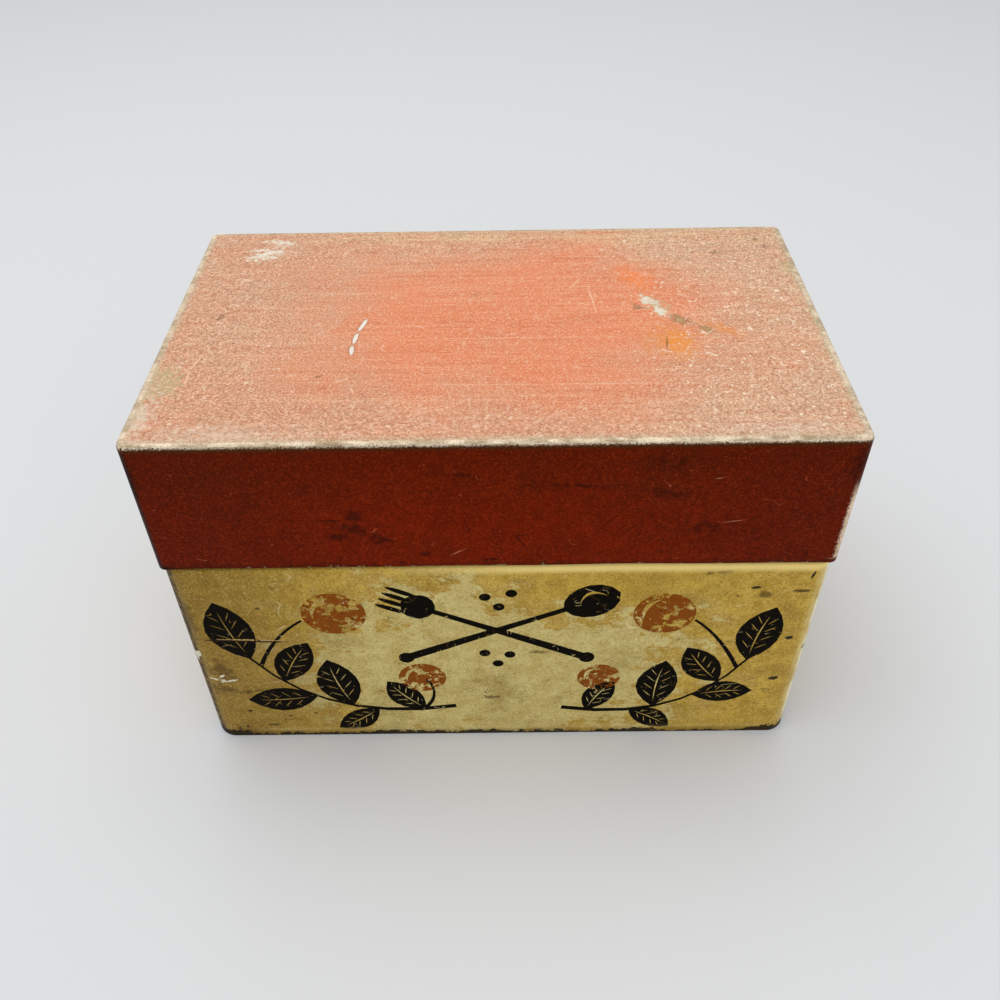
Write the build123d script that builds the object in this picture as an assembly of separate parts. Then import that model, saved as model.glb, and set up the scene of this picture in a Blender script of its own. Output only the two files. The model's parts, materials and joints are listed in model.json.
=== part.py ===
from build123d import *
from math import acos, degrees
import os

# Recipe card box of folded tinplate: a wrapped body with a necked collar, a pan base
# caught in the body's foot fold, a hemmed lid and a wire hinge with rolled knuckles.
# The front faces -Y, +Z is up and the origin is under the middle of the whole box,
# hinge barrel included, on the surface that it stands on.  Sizes are millimetres.

# ---------------------------------------------------------------- what it holds
card_width = 127.0
card_height = 76.2
card_side_clearance = 1.4
card_headroom = 8.2

# ---------------------------------------------------------------- the sheet and box
sheet = 0.3
box_depth = 80.5
lid_height = 31.4
lid_gap = 0.3
body_corner_radius = 4.6

# ---------------------------------------------------------------- neck and collar
lid_play = 0.9
shoulder_share = 0.6
neck_bend_share = 0.27
collar_height = 9.0
collar_hem = 3.0
collar_end_radius = 4.0
collar_end_setback = 1.5

# ---------------------------------------------------------------- lid details
lid_edge_radius = 1.0
lid_corner_spread = 0.8
lid_hem = 3.2
lid_hem_setback = 2.0
tab_width = 8.0
tab_end_clearance = 1.2
tab_corner_radius = 2.0

# ---------------------------------------------------------------- foot fold and base
floor_height = 3.0
base_bend_radius = 0.5
seam_clearance = 0.05
fold_clearance = 0.3

# ---------------------------------------------------------------- lock seam in the back
lock_seam_width = 4.5
lock_seam_bend = 0.3
lock_seam_groove = 0.45
lock_seam_lead = 1.0
lock_seam_end_clearance = 1.0

# ---------------------------------------------------------------- hinge
wire_diameter = 1.5
wire_fit = 0.05
lid_knuckle_count = 2
knuckle_gap = 0.4
knuckle_mouth = 0.1
knuckle_relief = 0.3
barrel_end_setback = 2.4
nip_depth = 0.35
wire_end_clearance = 0.1

# ---------------------------------------------------------------- sizes that follow
neck_inset = 2 * sheet + lid_play
shoulder_radius = shoulder_share * neck_inset
neck_bend_radius = neck_bend_share * neck_inset
fold_radius = 0.9 * sheet

box_width = card_width + 2 * (card_side_clearance + neck_inset + 2 * sheet)
box_height = floor_height + sheet + card_height + card_headroom + sheet
shoulder_z = box_height - lid_height - lid_gap
neck_z = shoulder_z - shoulder_radius
collar_top_z = shoulder_z + collar_height
collar_hem_z = collar_top_z - collar_hem
lid_bottom_z = shoulder_z + lid_gap
lid_hem_z = lid_bottom_z + lid_hem
lid_corner_radius = lid_edge_radius + lid_corner_spread

bore_radius = wire_diameter / 2 + wire_fit
knuckle_radius = bore_radius + sheet
barrel_proud = bore_radius + knuckle_radius
knuckle_wrap = 360 - degrees(acos((bore_radius - knuckle_mouth) / knuckle_radius))
relief_height = ((knuckle_radius + knuckle_relief) ** 2 - bore_radius**2) ** 0.5

front_y = -(box_depth + barrel_proud) / 2
back_y = front_y + box_depth
middle_y = (front_y + back_y) / 2
axis_y = back_y + bore_radius
axis_z = shoulder_z + lid_gap / 2
collar_end_y = back_y - body_corner_radius - collar_end_setback
lid_hem_end_y = back_y - lid_corner_radius - lid_hem_setback

fold_height = floor_height - base_bend_radius - fold_clearance
rim_width = 3 * sheet + 2 * seam_clearance

barrel_length = box_width - 2 * (body_corner_radius + barrel_end_setback)
knuckle_count = 2 * lid_knuckle_count + 1
knuckle_pitch = (barrel_length + knuckle_gap) / knuckle_count
knuckle_length = knuckle_pitch - knuckle_gap
body_knuckles = range(0, knuckle_count, 2)
lid_knuckles = range(1, knuckle_count, 2)
wire_length = barrel_length - 2 * (sheet + wire_end_clearance)


# ---------------------------------------------------------------- shared shapes
def block(low, high):
    """A box between two opposite corners, in either order."""
    start = [min(a, b) for a, b in zip(low, high)]
    size = [abs(b - a) for a, b in zip(low, high)]
    return Pos(*start) * Box(*size, align=(Align.MIN, Align.MIN, Align.MIN))


def prism(inset, bottom_z, top_z, corner_radius=body_corner_radius):
    """A solid block with the box's plan outline, moved in from the outer faces."""
    outline = RectangleRounded(
        box_width - 2 * inset, box_depth - 2 * inset, corner_radius - inset
    )
    return extrude(Pos(0, middle_y, bottom_z) * outline, top_z - bottom_z)


def band(inset, thickness, bottom_z, top_z, corner_radius=body_corner_radius):
    """An upright ring of sheet that follows the plan outline."""
    outer = prism(inset, bottom_z, top_z, corner_radius)
    return outer - prism(inset + thickness, bottom_z, top_z, corner_radius)


def behind(y):
    """A block that holds everything behind y."""
    return block((-box_width, y, -box_height), (box_width, y + box_width, 2 * box_height))


def edges_at(shape, height):
    """The level edges at one height."""
    return shape.edges().filter_by_position(Axis.Z, height - 1e-4, height + 1e-4)


def ease_fold(hem, rim_index):
    """Rounds a hem's folded rim on the outside and bevels it on the inside."""
    rim = hem.faces().sort_by(Axis.Z)[rim_index]
    hem = fillet(rim.outer_wire().edges(), fold_radius)
    rim = hem.faces().sort_by(Axis.Z)[rim_index]
    return chamfer(rim.inner_wires()[0].edges(), fold_radius)


# ---------------------------------------------------------------- hinge knuckles
def knuckle_span(index):
    """The X ends of one knuckle, counted from the left."""
    left = -barrel_length / 2 + index * knuckle_pitch
    return left, left + knuckle_length


def knuckle(index, turn):
    """A lip of the back sheet, rolled over the wire (turn -1) or under it (turn 1)."""
    left, right = knuckle_span(index)
    outer_y = axis_y - knuckle_radius
    inner_y = axis_y - bore_radius
    section = Polyline(
        (left, outer_y), (right, outer_y), (right, inner_y), (left, inner_y), close=True
    )
    pin = Axis((0, axis_y, axis_z), (turn, 0, 0))
    return revolve(Pos(0, 0, axis_z) * make_face(section), pin, knuckle_wrap)


def nipped_end(end_x, inward):
    """The rim of the barrel's end, turned in so that the wire can't slide out."""
    inner_x = end_x + inward * sheet
    outer_y = axis_y - knuckle_radius
    inner_y = axis_y - bore_radius + nip_depth
    section = Polyline(
        (end_x, outer_y), (inner_x, outer_y), (inner_x, inner_y), (end_x, inner_y), close=True
    )
    pin = Axis((0, axis_y, axis_z), (-1, 0, 0))
    return revolve(Pos(0, 0, axis_z) * make_face(section), pin, knuckle_wrap)


def relief(index, bottom_z, top_z):
    """The notch in one sheet that clears the other sheet's knuckle."""
    left, right = knuckle_span(index)
    return block(
        (left - knuckle_gap, back_y - 2 * sheet, bottom_z),
        (right + knuckle_gap, back_y + sheet, top_z),
    )


# ---------------------------------------------------------------- the wrapped body
def neck_form(inset, ledge_z, shoulder, bend):
    """A block with a rounded shoulder and a narrower neck that rises from its ledge."""
    form = prism(inset, fold_height, ledge_z)
    form = fillet(edges_at(form, ledge_z), shoulder)
    form += prism(neck_inset + inset, ledge_z - sheet, collar_hem_z)
    reach_x = box_width / 2 - neck_inset - inset + sheet / 2
    reach_y = box_depth / 2 - neck_inset - inset + sheet / 2
    hollow_edges = [
        edge
        for edge in edges_at(form, ledge_z)
        if abs(edge.center().X) < reach_x and abs(edge.center().Y - middle_y) < reach_y
    ]
    return fillet(hollow_edges, bend)


def necked_wall():
    """The walls, from the foot fold over the shoulder to the collar's hem, all one sheet."""
    outside = neck_form(0, shoulder_z, shoulder_radius, neck_bend_radius)
    inside = neck_form(
        sheet, shoulder_z - sheet, shoulder_radius - sheet, neck_bend_radius + sheet
    )
    return outside - inside


def collar_fold():
    """The collar's top edge, hemmed inwards to twice the sheet."""
    return ease_fold(band(neck_inset, 2 * sheet, collar_hem_z, collar_top_z), -1)


def collar_end_cut():
    """Rounds off the collar's two rear ends."""
    corner_y = collar_end_y - collar_end_radius
    corner_z = collar_top_z - collar_end_radius
    square = block(
        (-box_width, corner_y, corner_z),
        (box_width, collar_end_y, collar_top_z + sheet),
    )
    bar = Rot(0, 90, 0) * Cylinder(collar_end_radius, 2 * box_width)
    return square - Pos(0, corner_y, corner_z) * bar


def foot_fold():
    """The wrap's foot, turned in and up again round the base plate's flange."""
    foot = band(0, rim_width, 0, sheet)
    foot += band(0, sheet, 0, fold_height)
    foot += band(rim_width - sheet, sheet, 0, fold_height)
    return ease_fold(foot, 0)


def lock_seam():
    """The strip's two ends in the back wall, hooked into each other and pressed flat.

    Four layers of sheet: the right-hand end is layers 0 and 2, folded at the left, and
    the left-hand end is layers 3 and 1, stepped in past that fold and folded at the right.
    """
    pitch = sheet + seam_clearance
    layer_y = [back_y - sheet / 2 - count * pitch for count in range(4)]
    seam_x = sum(knuckle_span(lid_knuckles[0])) / 2
    left = seam_x - lock_seam_width / 2
    right = seam_x + lock_seam_width / 2
    wall_left = left - lock_seam_groove - 2 * lock_seam_lead
    wall_right = right + lock_seam_lead

    right_end = Line((wall_right, layer_y[0]), (left + pitch, layer_y[0]))
    right_end += ThreePointArc(
        (left + pitch, layer_y[0]), (left, layer_y[1]), (left + pitch, layer_y[2])
    )
    right_end += Line((left + pitch, layer_y[2]), (right - 2 * pitch, layer_y[2]))

    left_end = FilletPolyline(
        (wall_left, layer_y[0]),
        (left - lock_seam_groove - lock_seam_lead / 2, layer_y[0]),
        (left - lock_seam_groove, layer_y[3]),
        (right - pitch, layer_y[3]),
        radius=lock_seam_bend,
    )
    left_end += ThreePointArc(
        (right - pitch, layer_y[3]), (right, layer_y[2]), (right - pitch, layer_y[1])
    )
    left_end += Line((right - pitch, layer_y[1]), (left + 2 * pitch, layer_y[1]))

    bottom_z = floor_height + sheet + lock_seam_end_clearance
    top_z = axis_z - relief_height - lock_seam_end_clearance
    opening = block((wall_left, back_y - sheet, bottom_z), (wall_right, back_y, top_z))
    hooks = [
        extrude(Pos(0, 0, bottom_z) * trace(end, sheet), top_z - bottom_z)
        for end in (right_end, left_end)
    ]
    return opening, hooks


def body_wrap():
    body = necked_wall() + collar_fold() - collar_end_cut()
    body -= behind(collar_end_y) - prism(-sheet, 0, neck_z)
    body += band(0, sheet, neck_z, shoulder_z) & behind(collar_end_y)
    body += foot_fold()

    opening, hooks = lock_seam()
    body -= opening
    for hook in hooks:
        body += hook

    for index in lid_knuckles:
        body -= relief(index, axis_z - relief_height, axis_z)
    for index in body_knuckles:
        left, right = knuckle_span(index)
        body += block((left, back_y - sheet, shoulder_z - sheet), (right, back_y, axis_z))
        body += knuckle(index, -1)
    body += nipped_end(-barrel_length / 2, 1) + nipped_end(barrel_length / 2, -1)
    return body


# ---------------------------------------------------------------- the base plate
def base_plate():
    """A shallow pan, upside down: the panel with its flange turned down all round."""
    inset = sheet + seam_clearance
    bottom_z = sheet + seam_clearance
    top_z = floor_height + sheet
    outside = prism(inset, bottom_z, top_z)
    outside = fillet(edges_at(outside, top_z), base_bend_radius + sheet)
    inside = prism(inset + sheet, bottom_z, floor_height)
    inside = fillet(edges_at(inside, floor_height), base_bend_radius)
    return outside - inside


# ---------------------------------------------------------------- the lid
def lid_shell():
    """The top and the four skirts down to the hem, bent from one sheet."""
    ceiling_z = box_height - sheet
    outside = prism(0, lid_hem_z, box_height, lid_corner_radius)
    outside = fillet(edges_at(outside, box_height), lid_edge_radius)
    inside = prism(sheet, lid_hem_z, ceiling_z, lid_corner_radius)
    inside = fillet(edges_at(inside, ceiling_z), lid_edge_radius - sheet)
    return outside - inside


def lid_fold():
    """The front and side skirts' lower edge, hemmed inwards to twice the sheet."""
    hem = band(0, 2 * sheet, lid_bottom_z, lid_hem_z, lid_corner_radius)
    return ease_fold(hem, 0) - behind(lid_hem_end_y)


def corner_tab(side, corner_y, turn):
    """A flap folded round a corner, lying inside the side skirt."""
    far_y = corner_y + turn * tab_width
    bottom_z = lid_hem_z + tab_end_clearance
    top_z = box_height - lid_edge_radius - tab_end_clearance
    tab = block(
        (side * (box_width / 2 - 2 * sheet), corner_y, bottom_z),
        (side * (box_width / 2 - sheet / 2), far_y, top_z),
    )
    free_edges = [
        edge
        for edge in tab.edges().filter_by(Axis.X)
        if abs(edge.center().Y - far_y) < sheet / 2
    ]
    return fillet(free_edges, tab_corner_radius)


def lid():
    body = lid_shell() + lid_fold()
    body += band(0, sheet, lid_bottom_z, lid_hem_z, lid_corner_radius) & behind(lid_hem_end_y)
    for side in (-1, 1):
        body += corner_tab(side, front_y + lid_corner_radius, 1)
        body += corner_tab(side, back_y - lid_corner_radius, -1)
    for index in body_knuckles:
        body -= relief(index, axis_z, axis_z + relief_height)
    for index in lid_knuckles:
        left, right = knuckle_span(index)
        body += block((left, back_y - sheet, axis_z), (right, back_y, lid_bottom_z + sheet))
        body += knuckle(index, 1)
    return body


# ---------------------------------------------------------------- the hinge wire
def hinge_wire():
    """Plain steel wire, held between the nipped ends of the barrel."""
    return Pos(0, axis_y, axis_z) * Rot(0, 90, 0) * Cylinder(wire_diameter / 2, wire_length)


# ---------------------------------------------------------------- write the pieces
os.makedirs("parts", exist_ok=True)
for piece in (body_wrap, base_plate, lid, hinge_wire):
    export_step(piece(), f"parts/{piece.__name__}.step")
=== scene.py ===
import json
import math

import bmesh
import bpy
from mathutils import Matrix, Vector, noise


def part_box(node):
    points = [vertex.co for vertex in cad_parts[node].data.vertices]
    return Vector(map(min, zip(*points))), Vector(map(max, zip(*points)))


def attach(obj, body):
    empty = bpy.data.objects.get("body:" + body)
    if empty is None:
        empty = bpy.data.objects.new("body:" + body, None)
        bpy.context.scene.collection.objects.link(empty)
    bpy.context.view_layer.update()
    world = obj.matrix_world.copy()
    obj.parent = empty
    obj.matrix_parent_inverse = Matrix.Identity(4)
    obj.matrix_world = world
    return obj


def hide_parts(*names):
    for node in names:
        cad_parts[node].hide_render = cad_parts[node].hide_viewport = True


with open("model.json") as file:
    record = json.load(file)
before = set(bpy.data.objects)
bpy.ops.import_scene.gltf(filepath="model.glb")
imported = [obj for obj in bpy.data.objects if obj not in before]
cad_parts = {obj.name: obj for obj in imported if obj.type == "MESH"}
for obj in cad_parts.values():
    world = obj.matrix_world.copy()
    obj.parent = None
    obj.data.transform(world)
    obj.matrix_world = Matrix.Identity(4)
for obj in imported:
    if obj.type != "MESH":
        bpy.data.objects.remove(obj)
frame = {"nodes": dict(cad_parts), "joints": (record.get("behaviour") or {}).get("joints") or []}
bpy.context.view_layer.update()

# The pieces are made in millimetres, the studio in metres.
MM = 0.001

# ------------------------------------------------------------------ the wrapped body
# One strip of thin tinplate, printed flat and then bent round into the front, sides and
# back.  Its outside carries a mustard base coat under clear varnish, worn to a paler cream
# in the middle of the front.  Its inside and the curls of its hinge are bare tin.
body_low, body_high = (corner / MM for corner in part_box("body_wrap"))
pan_low, pan_high = (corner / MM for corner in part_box("base_plate"))
lid_low, lid_high = (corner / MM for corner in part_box("lid"))
HALF_WIDTH = body_high.x
FRONT_Y = body_low.y
BACK_Y = pan_high.y + pan_low.y - FRONT_Y
MIDDLE_Y = (FRONT_Y + BACK_Y) / 2
HALF_DEPTH = (BACK_Y - FRONT_Y) / 2
HINGE_Y, HINGE_Z = (value / MM for value in frame["joints"][0]["pos_m"][1:])
FLOOR_Z = pan_high.z
SHOULDER_Z = HINGE_Z - 0.15
COLLAR_TOP_Z = body_high.z
FOOT_FOLD_Z = 3.5
SHEET = 0.3
CURL_RADIUS = 1.1
GRID_PITCH = 3.0
PRESS_X = 27
PRESS_REACH = 24
PRESS_DEPTH = 0.30
CUT_WITHIN = 0.001
WELD_WITHIN = 0.002
FLAT_WITHIN = math.radians(0.5)
SHARP_BEND = math.radians(35)
GRAIN = 0.42
MARK_DEPTH = 3
EMBOSS_DEPTH = 0.03


def swell(distance, reach):
    """0 at an edge, rising smoothly to 1 once it is further in than reach."""
    share = min(max(distance / reach, 0.0), 1.0)
    return share * share * (3 - 2 * share)


def ripple(a, b, seed, length):
    """The slow unevenness of handled sheet, between -1 and 1."""
    return noise.noise(Vector((a / length, b / length, seed)))


def front_hollow(x, z):
    """How far the body's front is pushed in, in mm, most of all along its shoulder."""
    pressed = PRESS_DEPTH * math.exp(-(((x - PRESS_X) / PRESS_REACH) ** 2)) * swell(z - 40, 14)
    uneven = 0.11 + 0.08 * ripple(x, z, 3.1, 26)
    return swell(HALF_WIDTH - abs(x), 14) * swell(z - FOOT_FOLD_Z, 8) * (uneven + pressed)


def body_dent(place):
    """Where a point of the body lies after years of handling."""
    x, y, z = place
    if y < FRONT_Y + 3:
        return Vector((x, y + front_hollow(x, z), z))
    if y > BACK_Y - 2 and z < SHOULDER_Z - 3:
        push = swell(HALF_WIDTH - abs(x), 14)
        push *= swell(z - FOOT_FOLD_Z, 8) * swell(SHOULDER_Z - 3 - z, 8)
        return Vector((x, y - push * (0.11 + 0.10 * ripple(x, z, 7.7, 30)), z))
    if abs(x) > HALF_WIDTH - 3:
        side = math.copysign(1, x)
        push = swell(y - FRONT_Y, 12) * swell(BACK_Y - y, 12) * swell(z - FOOT_FOLD_Z, 8)
        return Vector((x - side * push * (0.14 + 0.13 * ripple(y, z, side, 24)), y, z))
    return place


def cut_in_grid(shape, low, high):
    """Adds level, upright and crosswise edges at an even pitch."""
    for axis in range(3):
        direction = Vector((0, 0, 0))
        direction[axis] = 1
        count = int((high[axis] - low[axis]) / GRID_PITCH)
        for step in range(1, count):
            bmesh.ops.bisect_plane(
                shape,
                geom=shape.verts[:] + shape.edges[:] + shape.faces[:],
                dist=CUT_WITHIN,
                plane_co=direction * (low[axis] + (high[axis] - low[axis]) * step / count),
                plane_no=direction,
            )


def worked_sheet(node, low, high, dent):
    """A copy of a sheet piece whose flat walls can take dents, and its dents."""
    shape = bmesh.new()
    shape.from_mesh(frame["nodes"][node].data)
    bmesh.ops.scale(shape, vec=(1 / MM,) * 3, verts=shape.verts)
    bmesh.ops.remove_doubles(shape, verts=shape.verts, dist=WELD_WITHIN)
    bmesh.ops.dissolve_limit(
        shape, angle_limit=FLAT_WITHIN, verts=shape.verts, edges=shape.edges
    )
    cut_in_grid(shape, low, high)
    for face in shape.faces:
        face.smooth = True
    for edge in shape.edges:
        edge.smooth = edge.calc_face_angle(0) < SHARP_BEND
    for corner in shape.verts:
        corner.co = dent(corner.co.copy())
    return shape


def finished_piece(shape, name, finishes, body):
    """Turns a shape in millimetres into the finished piece that rides on its body."""
    bmesh.ops.scale(shape, vec=(MM,) * 3, verts=shape.verts)
    mesh = bpy.data.meshes.new(name)
    shape.to_mesh(mesh)
    shape.free()
    for finish in finishes:
        mesh.materials.append(finish.material)
    piece = bpy.data.objects.new(name, mesh)
    bpy.context.scene.collection.objects.link(piece)
    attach(piece, body)
    return piece


def even_shading(piece):
    """Lets the big flat faces rule the shading where they run into a bend."""
    weighted = piece.modifiers.new("even_shading", "WEIGHTED_NORMAL")
    weighted.mode = "FACE_AREA"
    weighted.keep_sharp = True


def tone(red, green, blue):
    """A colour as the eye sees it, 0 to 255, made ready for a shader."""

    def linear(value):
        share = value / 255
        return share / 12.92 if share <= 0.04045 else ((share + 0.055) / 1.055) ** 2.4

    return (linear(red), linear(green), linear(blue), 1.0)


class Finish:
    """A surface finish, laid down coat by coat from places on the box in millimetres."""

    def __init__(self, name):
        self.material = bpy.data.materials.new(name)
        self.material.use_nodes = True
        self.nodes = self.material.node_tree.nodes
        self.links = self.material.node_tree.links
        self.surface = self.nodes["Principled BSDF"]
        metres = self.nodes.new("ShaderNodeTexCoord").outputs["Object"]
        self.place = self.vector("SCALE", metres, Scale=1 / MM)
        self.x, self.y, self.z = self.node("ShaderNodeSeparateXYZ", Vector=self.place).outputs
        self.patterns = 0
        self.tatters = self.math("SUBTRACT", self.clouds(1.3, 4.0, 0.65), 0.5)

    def feed(self, socket, value):
        if isinstance(value, bpy.types.NodeSocket):
            self.links.new(value, socket)
        else:
            socket.default_value = value

    def node(self, kind, **inputs):
        made = self.nodes.new(kind)
        for name, value in inputs.items():
            self.feed(made.inputs[name.replace("_", " ")], value)
        return made

    def vector(self, operation, first, **inputs):
        made = self.nodes.new("ShaderNodeVectorMath")
        made.operation = operation
        self.feed(made.inputs[0], first)
        for name, value in inputs.items():
            self.feed(made.inputs[name], value)
        return made.outputs["Value" if operation == "LENGTH" else "Vector"]

    def math(self, operation, *values):
        made = self.nodes.new("ShaderNodeMath")
        made.operation = operation
        for socket, value in zip(made.inputs, values):
            self.feed(socket, value)
        return made.outputs[0]

    def either(self, *shares):
        """The largest of several shares."""
        found = shares[0]
        for share in shares[1:]:
            found = self.math("MAXIMUM", found, share)
        return found

    def both(self, *shares):
        """Where several shares meet."""
        found = shares[0]
        for share in shares[1:]:
            found = self.math("MULTIPLY", found, share)
        return found

    def rise(self, value, start, end):
        """0 at start and 1 at end, with a smooth change between; start may be the higher."""
        made = self.node("ShaderNodeMapRange", Value=value)
        made.interpolation_type = "SMOOTHSTEP"
        made.inputs["To Min"].default_value = 0.0
        made.inputs["To Max"].default_value = 1.0
        self.feed(made.inputs["From Min"], start)
        self.feed(made.inputs["From Max"], end)
        return made.outputs["Result"]

    def fresh_place(self, stretch):
        """The place for one more pattern, so that no two patterns run alike."""
        self.patterns += 1
        mapping = self.node("ShaderNodeMapping", Vector=self.place)
        mapping.inputs["Location"].default_value = [n * self.patterns for n in (17.3, 9.1, 5.7)]
        mapping.inputs["Scale"].default_value = stretch
        return mapping.outputs["Vector"]

    def clouds(self, size, detail=2.0, roughness=0.5, stretch=(1, 1, 1)):
        """Random soft patches about size mm across, around 0.5."""
        made = self.node(
            "ShaderNodeTexNoise",
            Vector=self.fresh_place(stretch),
            Scale=1 / size,
            Detail=detail,
            Roughness=roughness,
        )
        return made.outputs["Fac"]

    def hairs(self, size, thickness, cover, stretch=(1, 1, 1)):
        """Short scratches, curly unless stretched: level lines of one cloud, cut by another."""
        curl = 1.0 if stretch == (1, 1, 1) else 0.0
        level = self.math("SUBTRACT", self.clouds(size, curl, 0.5, stretch), 0.5)
        line = self.rise(self.math("ABSOLUTE", level), thickness, thickness * 0.3)
        return self.both(line, self.rise(self.clouds(size * 0.8, 1.0), 1 - cover, 1.05 - cover))

    def specks(self, pitch, size, chance):
        """Small round specks of up to that size, each in one of a few cells."""
        place = self.fresh_place((1, 1, 1))
        made = self.node("ShaderNodeTexVoronoi", Vector=place, Scale=1 / pitch)
        cell = self.node("ShaderNodeSeparateColor", Color=made.outputs["Color"])
        reach = self.math("MULTIPLY", cell.outputs["Green"], size / pitch)
        near = self.rise(self.math("DIVIDE", made.outputs["Distance"], reach), 1.0, 0.6)
        return self.both(near, self.math("GREATER_THAN", cell.outputs["Red"], 1 - chance))

    def oval(self, centre, half, turn=(0, 0, 0)):
        """How far a place is from a centre, where 1 is on an oval of those half sizes."""
        mapping = self.node("ShaderNodeMapping", Vector=self.place)
        mapping.vector_type = "TEXTURE"
        mapping.inputs["Location"].default_value = centre
        mapping.inputs["Rotation"].default_value = [math.radians(angle) for angle in turn]
        mapping.inputs["Scale"].default_value = half
        return self.vector("LENGTH", mapping.outputs["Vector"])

    def mark(self, centre, half, turn, soft, ragged):
        """One oval mark with ragged edges, at a known place."""
        reach = self.math("MULTIPLY_ADD", self.tatters, ragged * 2.5, self.oval(centre, half, turn))
        return self.rise(reach, 1.0, 1.0 - soft)

    def coat(self, share, under, over):
        """One colour over another, as far as the share says."""
        made = self.nodes.new("ShaderNodeMix")
        made.data_type = "RGBA"
        for number, value in ((0, share), (6, under), (7, over)):
            self.feed(made.inputs[number], value)
        return made.outputs[2]

    def level(self, share, under, over):
        """One number over another, as far as the share says."""
        made = self.nodes.new("ShaderNodeMix")
        for number, value in ((0, share), (2, under), (3, over)):
            self.feed(made.inputs[number], value)
        return made.outputs[0]

    def from_sides(self):
        """How far in a place is from the nearest two upright sides, in mm, least first."""
        across = self.math("SUBTRACT", HALF_WIDTH, self.math("ABSOLUTE", self.x))
        deep = self.math("ABSOLUTE", self.math("SUBTRACT", self.y, MIDDLE_Y))
        deep = self.math("SUBTRACT", HALF_DEPTH, deep)
        return self.math("MINIMUM", across, deep), self.math("MAXIMUM", across, deep)

    def from_edge(self, low_z, high_z):
        """How far a place on the outside is from the box's nearest edge, in mm."""
        tall = self.math("ABSOLUTE", self.math("SUBTRACT", self.z, (low_z + high_z) / 2))
        tall = self.math("SUBTRACT", (high_z - low_z) / 2, tall)
        least, most = self.from_sides()
        return self.math("MAXIMUM", least, self.math("MINIMUM", most, tall))

    def emboss(self, height, depth_mm):
        """Raises the surface by a height of 0 to 1 times the depth."""
        made = self.node("ShaderNodeBump", Height=height, Distance=depth_mm * MM)
        self.feed(self.surface.inputs["Normal"], made.outputs["Normal"])

    def show(self, paint, roughness, metal=0.0, shine=0.5, gloss=(1, 1, 1, 1)):
        self.feed(self.surface.inputs["Base Color"], paint)
        self.feed(self.surface.inputs["Roughness"], roughness)
        self.feed(self.surface.inputs["Metallic"], metal)
        self.surface.inputs["Specular IOR Level"].default_value = shine
        self.surface.inputs["Specular Tint"].default_value = gloss


def bare_tin(name, bright, dull, tarnish):
    """Tinplate with no paint: rolling grain, dull patches, brown tarnish and pin rust."""
    tin = Finish(name)
    grain = tin.clouds(0.5, 3.0, 0.6, (0.08, 1, 1))
    stained = tin.rise(tin.clouds(11.0, 4.0, 0.62), 0.50, 0.72)
    rusted = tin.both(tin.rise(tin.clouds(2.2, 5.0, 0.7), 0.60, 0.70), stained)
    metal = tin.coat(tin.rise(tin.clouds(6.0, 3.0, 0.6), 0.3, 0.7), bright, dull)
    metal = tin.coat(tin.both(stained, 0.55), metal, tarnish)
    metal = tin.coat(tin.both(tin.hairs(7.0, 0.005, 0.45), 0.45), metal, tone(226, 223, 216))
    metal = tin.coat(tin.both(rusted, 0.8), metal, tone(96, 66, 44))
    rough = tin.level(stained, tin.level(grain, 0.28, 0.44), 0.56)
    tin.emboss(tin.math("MULTIPLY_ADD", rusted, -0.7, grain), 0.02)
    tin.show(metal, rough, tin.level(rusted, 0.95, 0.1))
    return tin


def front_marks(paint, *rows):
    """Marks on the front: x, z, half width, half height, turn, softness, raggedness."""
    return paint.either(
        *[
            paint.mark((x, FRONT_Y, z), (wide, MARK_DEPTH, tall), (0, turn, 0), soft, ragged)
            for x, z, wide, tall, turn, soft, ragged in rows
        ]
    )


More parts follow.
